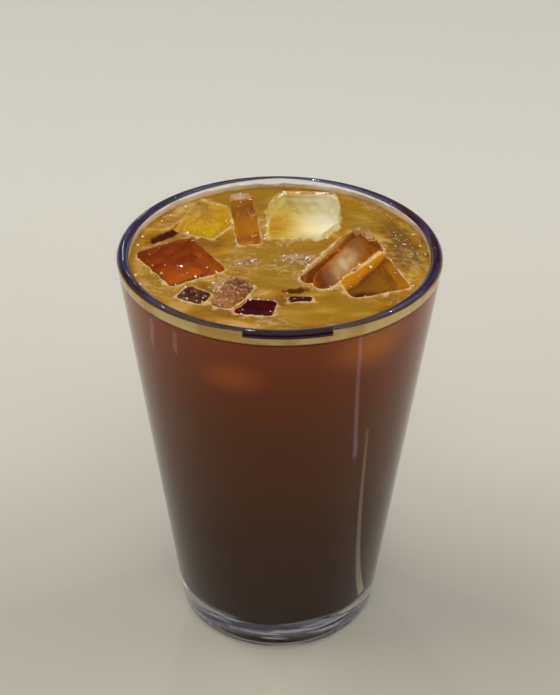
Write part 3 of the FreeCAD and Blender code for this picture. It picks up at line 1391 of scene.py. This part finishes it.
@dataclass(frozen=True)
class Drink:
    """Coffee and its foam, reaching just into the glass and the ice."""

    tumbler: Tumbler
    coffee_top: float
    patches: tuple[FoamPatch, ...] = ()
    bite: float = 0.15 * MM
    coffee_turns: int = 150
    foam_thickness: float = 1.3 * MM
    foam_turns: int = 560
    foam_rings: int = 150
    # rise of the foam at the wall and the ice
    climb: float = 1.0 * MM
    climb_width: float = 0.5 * MM
    ice_climb: float = 0.5 * MM
    ice_climb_width: float = 0.6 * MM
    # unevenness of its top
    broad_wave: float = 9 * MM
    broad_height: float = 0.1 * MM
    fine_wave: float = 2 * MM
    fine_height: float = 0.03 * MM
    froth_height: float = 0.3 * MM
    bare_depth: float = 0.25 * MM
    # pale fringe along the ice: paler foam, lightened further as a painted highlight on its
    # edge
    fringe: float = 0.34 * MM
    fringe_least: float = 0.16 * MM
    fringe_wave: float = 3.4 * MM

    @property
    def foam_top(self) -> float:
        """Height of the foam's flat top."""
        return self.coffee_top + self.foam_thickness

    @property
    def foam_edge(self) -> np.ndarray:
        """Radius and height of the foam's upper edge, just inside the wall's glass."""
        height = self.foam_top + self.climb
        return np.array([self.tumbler.inner(height) + self.bite, height])

    def build_coffee(self, cutter: bpy.types.Object) -> bpy.types.Object:
        """Make the coffee.

        Args:
            cutter: What hollows it round the ice.

        Returns:
            The piece.
        """
        profile = self.tumbler.cavity_profile(self.bite, self.coffee_top)
        middle = np.array([0.0, self.coffee_top])
        profile = np.concatenate([profile, run(profile[-1], middle, 3 * MM), [middle]])
        coffee = mesh_object("coffee_body", *lathe(profile, self.coffee_turns))
        finish = Coffee(self.tumbler.base_thickness, self.coffee_top)
        coffee.data.materials.append(finish.material())
        hollow(coffee, cutter)
        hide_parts("coffee")
        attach(coffee, BODY)
        return coffee

    def shoreline(self, blocks: list[bpy.types.Object]) -> np.ndarray:
        """Places in plan where the ice comes through the foam.

        Args:
            blocks: The ice.

        Returns:
            One row for each place.
        """
        rows = []
        for block in blocks:
            places = vertex_array(block.data)
            near = np.abs(places[:, 2] - self.foam_top) < 0.3 * MM
            rows.append(places[near, :2])
        return np.concatenate(rows)

    def foam_profile(self) -> np.ndarray:
        """Profile of the foam, from the middle of its underside to that of its top.

        Returns:
            Radius and height of each point.
        """
        edge = self.foam_edge
        under = np.array([0.0, self.coffee_top])
        foot = np.array([self.tumbler.inner(self.coffee_top) + self.bite, self.coffee_top])
        top = np.stack([np.linspace(edge[0], 0, self.foam_rings),
                        np.full(self.foam_rings, edge[1])], -1)
        return np.concatenate([[under], run(under, foot, 3 * MM), [foot],
                               run(foot, edge, 0.4 * MM), top])

    def rise(self, plan: np.ndarray, shore: np.ndarray) -> np.ndarray:
        """Rise of the foam's top above its flat height.

        It falls off exponentially away from the wall and away from the ice, and two
        fields of waves, the frothy patches and the bare ones are added.

        Args:
            plan: Places in plan, one row each.
            shore: Places in plan where the ice comes through the foam.

        Returns:
            One rise for each place.
        """
        inwards = self.foam_edge[0] - np.linalg.norm(plan, axis=1)
        open_foam = np.clip(inwards / (1.5 * MM), 0, 1)
        rise = self.climb * np.exp(-inwards / self.climb_width)
        rise += open_foam * self.ice_climb * np.exp(
            -distance(plan, shore) / self.ice_climb_width)
        rise += open_foam * (
            waves(plan, self.broad_wave, Seed.FOAM_BROAD) * self.broad_height
            + waves(plan, self.fine_wave, Seed.FOAM_FINE) * self.fine_height)
        rise += self.patch_share(plan, Patch.BUBBLY) * self.froth_height
        rise -= self.patch_share(plan, Patch.BARE) * self.bare_depth
        return rise

    def marks(self, plan: np.ndarray, shore: np.ndarray) -> dict[str, np.ndarray]:
        """Values of the foam's attributes.

        Args:
            plan: Places in plan, one row each.
            shore: Places in plan where the ice comes through the foam.

        Returns:
            Name of each attribute to one value for each place.
        """
        fringe = self.fringe * (
            1 + 1.1 * waves(plan, self.fringe_wave, Seed.FOAM_FRINGE))
        away = distance(plan, shore) / np.maximum(fringe, self.fringe_least)
        return {"near_ice": np.exp(-away ** 2),
                "bubbly": self.patch_share(plan, Patch.BUBBLY),
                "thin": self.patch_share(plan, Patch.THIN),
                "bare": self.patch_share(plan, Patch.BARE),
                "streak": self.streaks(plan)}

    def build_foam(self, cutter: bpy.types.Object,
                   blocks: list[bpy.types.Object]) -> bpy.types.Object:
        """Make the foam: its profile turned about the axis, with its top raised.

        Args:
            cutter: What hollows it round the ice.
            blocks: The ice, which it climbs.

        Returns:
            The piece.
        """
        points, faces = lathe(self.foam_profile(), self.foam_turns)
        on_top = points[:, 2] > self.foam_edge[1] - 0.01 * MM
        shore = self.shoreline(blocks)
        points[on_top, 2] = self.foam_top + self.rise(points[on_top, :2], shore)
        foam = mesh_object("foam_layer", points, faces)
        foam.data.materials.append(Foam().material())
        hollow(foam, cutter)
        for name, values in self.marks(vertex_array(foam.data)[:, :2], shore).items():
            add_mark(foam.data, name, values)
        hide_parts("foam")
        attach(foam, BODY)
        return foam

    def streaks(self, plan: np.ndarray) -> np.ndarray:
        """Streaks that follow the wall.

        They are waves over the radius and a direction of unit length times 9 mm, so
        that they change fast across the radius and slowly round it, and fade out
        towards the middle.

        Args:
            plan: Places in plan, one row each.

        Returns:
            One value for each place.
        """
        radius = np.linalg.norm(plan, axis=1, keepdims=True)
        way = plan / np.maximum(radius, 1 * MM) * 9 * MM
        fade = np.clip((radius[:, 0] - 8 * MM) / (14 * MM), 0, 1)
        return fade * waves(np.concatenate([way, radius], 1), 4.5 * MM, Seed.FOAM_STREAKS)

    def patch_share(self, plan: np.ndarray, kind: Patch) -> np.ndarray:
        """How far places in plan lie within the patches of one kind.

        Args:
            plan: Places in plan, one row each.
            kind: Kind of patch.

        Returns:
            A share from 0 to 1 for each place.
        """
        share = np.zeros(len(plan))
        for number, patch in enumerate(self.patches):
            if patch.kind is kind:
                share = np.maximum(share, patch.share(plan, number + Seed.FOAM_PATCHES))
        return share


def distance(plan: np.ndarray, shore: np.ndarray) -> np.ndarray:
    """Distance of each place in plan from the nearest of the shore's places.

    Args:
        plan: Places in plan, one row each.
        shore: Places to measure from, one row each.

    Returns:
        One distance for each place.
    """
    least = np.empty(len(plan))
    batch = 2000
    for start in range(0, len(plan), batch):
        part = plan[start:start + batch]
        square = ((part[:, None, :] - shore[None, :, :]) ** 2).sum(-1)
        least[start:start + batch] = np.sqrt(square.min(1))
    return least


@dataclass(frozen=True)
class Bubbles:
    """Bubbles along the ice and the wall, in the frothy patches, and drops on the ice. A
    share of the bubbles and all the drops are white, as painted glints.
    """

    drink: Drink
    along_ice: int = 260
    along_wall: int = 90
    in_froth: int = 120
    on_ice: int = 48
    smallest: float = 0.12 * MM
    largest: float = 0.42 * MM
    drop_smallest: float = 0.1 * MM
    drop_largest: float = 0.24 * MM
    glint_share: float = 0.4
    sides: int = 8
    bands: int = 3

    def centres(self, shore: np.ndarray) -> tuple[np.ndarray, np.ndarray]:
        """Plan places and radii of the bubbles.

        Args:
            shore: Places in plan where the ice comes through the foam.

        Returns:
            Plan places, one row each, and radii.
        """
        draw = np.random.default_rng(Seed.BUBBLE_PLACES)
        beside = shore[draw.integers(0, len(shore), self.along_ice)]
        beside = beside + draw.normal(0, 0.9 * MM, beside.shape)
        edge = self.drink.tumbler.inner(self.drink.foam_top) - 0.6 * MM
        turn = draw.uniform(0, 2 * pi, self.along_wall)
        wall = np.stack([np.cos(turn), np.sin(turn)], -1)
        wall = wall * (edge - np.abs(draw.normal(0, 0.5 * MM, (self.along_wall, 1))))
        froth = [patch for patch in self.drink.patches if patch.kind is Patch.BUBBLY]
        picks = draw.integers(0, len(froth), self.in_froth)
        hearts = np.array([patch.place for patch in froth])[picks]
        reach = np.array([(patch.long, patch.wide) for patch in froth])[picks]
        turn = np.radians([patch.heading for patch in froth])[picks]
        offset = draw.normal(0, 0.5, (self.in_froth, 2)) * reach
        spin = np.stack([offset[:, 0] * np.cos(turn) - offset[:, 1] * np.sin(turn),
                         offset[:, 0] * np.sin(turn) + offset[:, 1] * np.cos(turn)], -1)
        plan = np.concatenate([beside, wall, hearts + spin])
        sizes = self.smallest + (self.largest - self.smallest) * draw.random(len(plan)) ** 3
        inside = np.linalg.norm(plan, axis=1) < edge
        return plan[inside], sizes[inside]

    def dry_ice(self, blocks: list[bpy.types.Object]) -> np.ndarray:
        """Points of the ice's tops that stand clear of the foam.

        Args:
            blocks: The ice.

        Returns:
            One row for each point.
        """
        tops = []
        for block in blocks:
            places, normals = vertex_array(block.data), vertex_array(block.data, "normal")
            dry = (places[:, 2] > self.drink.foam_top + 0.7 * MM) & (normals[:, 2] > 0.8)
            tops.append(places[dry])
        return np.concatenate(tops)

    def build(self, blocks: list[bpy.types.Object]) -> bpy.types.Object:
        """Make the bubbles as one piece.

        Each is a small sphere (r cos a cos b, r sin a cos b, r sin b) sunk halfway into
        the foam's top, or into the ice.

        Args:
            blocks: The ice.

        Returns:
            The piece.
        """
        shore = self.drink.shoreline(blocks)
        plan, sizes = self.centres(shore)
        rise = 0.4 * MM * np.exp(-distance(plan, shore) / self.drink.ice_climb_width)
        level = self.drink.foam_top + rise + 0.1 * MM
        draw = np.random.default_rng(Seed.BUBBLE_LOOKS)
        tops = self.dry_ice(blocks)
        drops = tops[draw.integers(0, len(tops), self.on_ice)]
        middles = np.concatenate([np.concatenate([plan, level[:, None]], 1), drops])
        drop_sizes = draw.uniform(self.drop_smallest, self.drop_largest, self.on_ice)
        sizes = np.concatenate([sizes, drop_sizes])
        lift = np.linspace(-pi / 2, pi / 2, self.bands + 2)
        ball, parts = lathe(np.stack([np.cos(lift), np.sin(lift)], -1), self.sides)
        points = (middles[:, None, :] + ball[None] * sizes[:, None, None]).reshape(-1, 3)
        step = (np.arange(len(middles)) * len(ball))[:, None, None]
        faces = [(part[None] + step).reshape(-1, part.shape[1]) for part in parts]
        bubbles = mesh_object("foam_bubbles", points, faces)
        # painted glints: a share of the bubbles and all the drops are white
        white = draw.random(len(middles)) < self.glint_share
        white[len(plan):] = True
        add_mark(bubbles.data, "pale", np.repeat(white, len(ball)))
        bubbles.data.materials.append(BubbleSkin().material())
        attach(bubbles, BODY)
        return bubbles


# ---- the studio -----------------------------------------------------------------------
def area_lamp(name: str, size: tuple[float, float], watts: float,
              colour: Triple) -> bpy.types.Object:
    """Add a rectangular lamp at the origin.

    Args:
        name: Name of the lamp.
        size: Length and width.
        watts: Power.
        colour: Red, green and blue of its light.

    Returns:
        The lamp.
    """
    data = bpy.data.lights.new(name, "AREA")
    data.shape = "RECTANGLE"
    data.size, data.size_y = size
    data.energy = watts
    data.color = colour
    return scene_object(name, data)


@dataclass(frozen=True)
class Lamp:
    """Rectangular lamp that faces a point of the object.

    twist turns it about the line to that point, in degrees. mirrored says whether its
    mirror image shows in glossy surfaces.
    """

    name: str
    place: Triple
    size: tuple[float, float]
    watts: float
    colour: Triple = (1.0, 0.98, 0.94)
    aim: Triple = (0.0, 0.0, 0.08)
    twist: float = 0.0
    mirrored: bool = True

    def build(self) -> bpy.types.Object:
        """Make the lamp.

        Returns:
            The lamp.
        """
        lamp = area_lamp(self.name, self.size, self.watts, self.colour)
        lamp.location = self.place
        towards = Vector(self.aim) - Vector(self.place)
        twist = Quaternion((0.0, 0.0, 1.0), radians(self.twist))
        lamp.rotation_euler = (towards.to_track_quat("-Z", "Y") @ twist).to_euler()
        lamp.visible_glossy = self.mirrored
        return lamp


@dataclass(frozen=True)
class Strip:
    """Slim upward lamp just above the table, whose mirror image runs down the glass."""

    name: str
    start: Place
    end: Place
    width: float
    watts: float
    colour: Triple
    height: float = 1.5 * MM

    def build(self) -> bpy.types.Object:
        """Make the lamp.

        Returns:
            The lamp.
        """
        start, end = Vector((*self.start, self.height)), Vector((*self.end, self.height))
        reach = end - start
        lamp = area_lamp(self.name, (reach.length, self.width), self.watts, self.colour)
        along = reach.normalized()
        down = Vector((0.0, 0.0, -1.0))
        axes = Matrix((along, down.cross(along), down)).transposed()
        lamp.matrix_world = Matrix.Translation((start + end) / 2) @ axes.to_4x4()
        lamp.visible_camera = False
        lamp.visible_transmission = False
        return lamp


@dataclass(frozen=True)
class Studio:
    """Pale table, soft light and the camera."""

    table_reach: float = 4.0
    sky: tuple[tuple[float, Colour], ...] = (
        (0.0, (0.78, 0.78, 0.76, 1.0)), (0.08, (0.62, 0.62, 0.62, 1.0)),
        (0.24, (0.072, 0.075, 0.12, 1.0)), (0.62, (0.072, 0.075, 0.12, 1.0)),
        (0.85, (0.5, 0.5, 0.52, 1.0)))
    lens: float = 85.36
    camera_place: Triple = (0.25 * MM, -397.83 * MM, 343.21 * MM)
    look_down: float = 32.569
    roll: float = 0.4
    lamps: tuple[Lamp | Strip, ...] = (
        Lamp("key", (-0.9, 0.1, 1.5), (1.0, 1.0), 11.7, mirrored=False),
        Lamp("front", (0.1, -0.9, 1.6), (1.0, 0.8), 7.9, mirrored=False),
        Lamp("fill", (1.0, 0.1, 1.3), (0.9, 0.9), 6.7, mirrored=False),
        Lamp("back_lamp", (-0.152, 1.6, 1.013), (0.012, 0.005), 0.03, twist=-45.0),
        Lamp("back_lamp_twin", (-0.142, 1.6, 1.024), (0.012, 0.005), 0.03, twist=-45.0),
        Lamp("right_lamp", (0.8, 0.62, 1.45), (0.03, 0.02), 1.6),
        Lamp("left_lamp", (-0.8, 0.7, 1.4), (0.03, 0.02), 1.6),
        Lamp("middle_lamp", (-0.15, 0.75, 1.6), (0.03, 0.02), 1.2),
        Strip("cool_strip", (132 * MM, -90 * MM), (86 * MM, -48 * MM), 7 * MM, 0.0013,
              (0.8, 0.78, 1.0)),
        Strip("warm_strip", (104 * MM, -36 * MM), (34 * MM, -12 * MM), 5 * MM, 0.0009,
              (1.0, 0.84, 0.58)),
        Strip("soft_strip_left", (-163 * MM, 23 * MM), (-148 * MM, 32 * MM), 10 * MM,
              0.00024, (1.0, 0.9, 0.85)),
        Strip("soft_strip_front", (-153 * MM, -41 * MM), (-144 * MM, -33 * MM), 10 * MM,
              0.00024, (1.0, 0.9, 0.85)),
    )

    def room(self) -> bpy.types.World:
        """Make the world: pale at the horizon and overhead, dim between.

        Returns:
            The world.
        """
        world = bpy.data.worlds.new("room")
        world.use_nodes = True
        tree = world.node_tree
        way = tree.nodes.new("ShaderNodeTexCoord")
        axes = tree.nodes.new("ShaderNodeSeparateXYZ")
        ramp = tree.nodes.new("ShaderNodeValToRGB")
        fill_ramp(ramp.color_ramp, self.sky)
        tree.links.new(way.outputs["Generated"], axes.inputs[0])
        tree.links.new(axes.outputs[2], ramp.inputs[0])
        tree.links.new(ramp.outputs[0], tree.nodes["Background"].inputs[0])
        return world

    def build(self) -> None:
        """Make the table, the world, the lamps and the camera."""
        reach = self.table_reach
        corners = np.array([[-reach, -reach, 0], [reach, -reach, 0],
                            [reach, reach, 0], [-reach, reach, 0]])
        table = mesh_object("table", corners, [np.array([[0, 1, 2, 3]])])
        table.data.materials.append(PaleTable().material())
        bpy.context.scene.world = self.room()
        for lamp in self.lamps:
            lamp.build()
        data = bpy.data.cameras.new("camera")
        data.lens = self.lens
        data.clip_start = 10 * MM
        camera = scene_object("camera", data)
        tilt = Matrix.Rotation(radians(90 - self.look_down), 4, "X")
        turn = Matrix.Rotation(radians(self.roll), 4, "Z")
        camera.matrix_world = Matrix.Translation(self.camera_place) @ tilt @ turn
        bpy.context.scene.camera = camera
        bpy.context.scene.view_settings.view_transform = "Standard"


PATCHES: tuple[FoamPatch, ...] = (
    FoamPatch(Patch.BUBBLY, (5.6 * MM, -0.4 * MM), 5.5 * MM, 3.2 * MM, -10.0),
    FoamPatch(Patch.BUBBLY, (-9.5 * MM, -2.8 * MM), 4.8 * MM, 1.4 * MM, 20.0),
    # These two patches by the right wall darken the foam there, partly as foam islands and
    # partly as painted shade.
    FoamPatch(Patch.BUBBLY, (35.0 * MM, 7.0 * MM), 9.0 * MM, 2.0 * MM, 98.0, 0.4),
    FoamPatch(Patch.THIN, (35.0 * MM, 9.0 * MM), 13.0 * MM, 5.0 * MM, 100.0, 0.9),
    FoamPatch(Patch.THIN, (-27.0 * MM, 27.0 * MM), 6.0 * MM, 2.0 * MM, 48.0, 0.5),
    FoamPatch(Patch.THIN, (14.0 * MM, 33.0 * MM), 8.0 * MM, 2.0 * MM, -20.0, 0.4),
    FoamPatch(Patch.BUBBLY, (-16.5 * MM, -14.0 * MM), 3.5 * MM, 1.6 * MM, 60.0, 0.8),
    FoamPatch(Patch.BARE, (-32.4 * MM, 12.7 * MM), 6.4 * MM, 2.0 * MM, 43.0, 1.0,
              tatter=0.1, firm=4.0),
    FoamPatch(Patch.BARE, (4.4 * MM, -17.6 * MM), 3.6 * MM, 1.3 * MM, 12.0, 0.9,
              tatter=0.2, firm=3.0),
    FoamPatch(Patch.BARE, (-8.7 * MM, -2.0 * MM), 2.8 * MM, 0.8 * MM, 22.0, 0.5,
              tatter=0.2),
)

# The pocket colours of each block are painted light and shade of the coffee seen through it:
# near white and yellow for the blocks by the back wall, where light comes through the glass,
# deep reds where a block looks into deep coffee, and a bright glow that lights the shaded
# corner under ice_right.
ICE: tuple[IceBlock, ...] = (
    IceBlock("ice_left", Hues(
        linear(158, 78, 2), linear(188, 102, 3), linear(182, 94, 3), linear(196, 108, 3), 0.0),
        uneven=0.02 * MM),
    IceBlock("ice_ridge", Hues(
        linear(162, 94, 4), linear(186, 124, 14), linear(156, 86, 3),
        linear(184, 116, 5), 0.12, glows=(
            Glow((14 * MM, 7 * MM, 113 * MM), 5 * MM, 1.0, linear(186, 114, 6), 0.8),
            Glow((10.5 * MM, -5 * MM, 112 * MM), 6.5 * MM, 1.0, linear(84, 24, 2), 1.0))),
        groove=1.8 * MM, groove_width=0.7 * MM, heading=57.0, groove_offset=0.4 * MM, milk_and_highlights=(
            # The pale and white patches along the middle of the ridge are painted highlights.
            Glow((22.5 * MM, 9 * MM, 122.5 * MM), 6 * MM, 1.0, linear(188, 154, 112), 0.6),
            Glow((21.5 * MM, 0 * MM, 121.5 * MM), 4 * MM, 1.0, linear(210, 176, 110), 0.2),
            Glow((19.4 * MM, -4 * MM, 121 * MM), 4 * MM, 1.0, linear(244, 222, 150), 0.6),
            Glow((17.6 * MM, -7.5 * MM, 121 * MM), 4 * MM, 1.0, linear(240, 226, 178), 0.75),
            Glow((15.6 * MM, -10.5 * MM, 120.5 * MM), 4 * MM, 1.0, linear(210, 186, 130),
                 0.6),
            Glow((13.2 * MM, -13.5 * MM, 120 * MM), 3.5 * MM, 1.0, linear(150, 100, 56),
                 0.5))),
    IceBlock("ice_back_right", Hues(
        linear(204, 187, 112), linear(236, 236, 222), linear(228, 206, 86),
        linear(232, 232, 214), 0.2, linear(226, 214, 176), glows=(
            Glow((-1.5 * MM, 27 * MM, 105 * MM), 9 * MM, 1.0, linear(188, 134, 3), 0.95),)),
        chops=(((4.3 * MM, 38.2 * MM), (-5.2 * MM, 26.5 * MM)),
               ((17.0 * MM, 29.4 * MM), (13.9 * MM, 38.8 * MM)),
               ((12.3 * MM, 10.8 * MM), (17.9 * MM, 18.3 * MM)))),
    IceBlock("ice_right", Hues(
        linear(190, 126, 3), linear(194, 134, 6), linear(182, 120, 5),
        linear(208, 156, 12), 0.05, glows=(
            Glow((28.5 * MM, 2 * MM, 111 * MM), 9 * MM, 1.0, linear(252, 196, 8), 1.0),))),
    IceBlock("ice_back_middle", Hues(
        linear(212, 162, 38), linear(204, 152, 22), linear(196, 140, 5),
        linear(192, 132, 5), 0.08, glows=(
            Glow((-9 * MM, 19 * MM, 108.5 * MM), 6 * MM, 1.0, linear(176, 98, 4), 0.85),)),
        milk_and_highlights=(Glow((-12 * MM, 30 * MM, 123 * MM), 4.5 * MM, 1.0, linear(164, 160, 130),
                   0.8),)),
    IceBlock("ice_back_left", Hues(
        linear(214, 182, 88), linear(232, 198, 42), linear(216, 188, 3),
        linear(218, 186, 6), 0.0, glows=(
            Glow((-23 * MM, 30 * MM, 118.5 * MM), 6 * MM, 1.0, linear(208, 176, 110),
                 0.9),))),
    IceBlock("ice_front", Hues(
        linear(186, 136, 84), linear(176, 122, 70), linear(176, 118, 64),
        linear(166, 104, 50), 0.3), frost=0.8,
        chops=(((-10.5 * MM, -11.8 * MM), (-15.3 * MM, -15.8 * MM)),
               ((-13.9 * MM, -29.0 * MM), (-8.0 * MM, -21.4 * MM)))),
    IceBlock("ice_front_dark", Hues(
        linear(120, 8, 4), linear(124, 14, 4), linear(100, 2, 2), linear(104, 4, 2), 0.0)),
    IceBlock("ice_left_front", Hues(
        linear(146, 78, 28), linear(130, 60, 18), linear(106, 40, 9),
        linear(100, 36, 8), 0.18), frost=0.45),
    IceBlock("ice_chip", Hues(
        linear(144, 66, 16), linear(130, 54, 12), linear(110, 36, 6),
        linear(106, 32, 6), 0.15)),
)


def main() -> None:
    """Build the studio, the tumbler, the ice and the drink, in that order."""
    logging.basicConfig(level=logging.INFO, format="%(name)s: %(message)s")
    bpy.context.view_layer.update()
    _, glass_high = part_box("glass")
    _, foam_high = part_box("foam")
    tumbler = Tumbler(height=glass_high.z, rim_radius=glass_high.x)
    Studio().build()
    tumbler.build(ClearGlass(tumbler.height, tumbler.rim_radius, tumbler.base_thickness,
                             foam_high.z))
    LOG.info("tumbler %.1f mm tall", tumbler.height / MM)
    _, coffee_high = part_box("coffee")
    drink = Drink(tumbler, coffee_high.z, PATCHES)
    blocks = [ice.build(seed) for seed, ice in enumerate(ICE)]
    pockets = []
    for ice in ICE:
        left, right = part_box(ice.node)
        pockets.append(Pocket(ice.node + "_pocket", ice.hues, left.x, right.x,
                              drink.foam_top))
    cutter = pocket_cutter(blocks, pockets, ICE_BITE)
    bubbles = Bubbles(drink).build(blocks)
    for piece in (drink.build_coffee(cutter), drink.build_foam(cutter, blocks), bubbles,
                  *blocks):
        LOG.info("%s: %d faces", piece.name, len(piece.data.polygons))
    bpy.data.objects.remove(cutter)


if __name__ == "__main__":
    main()
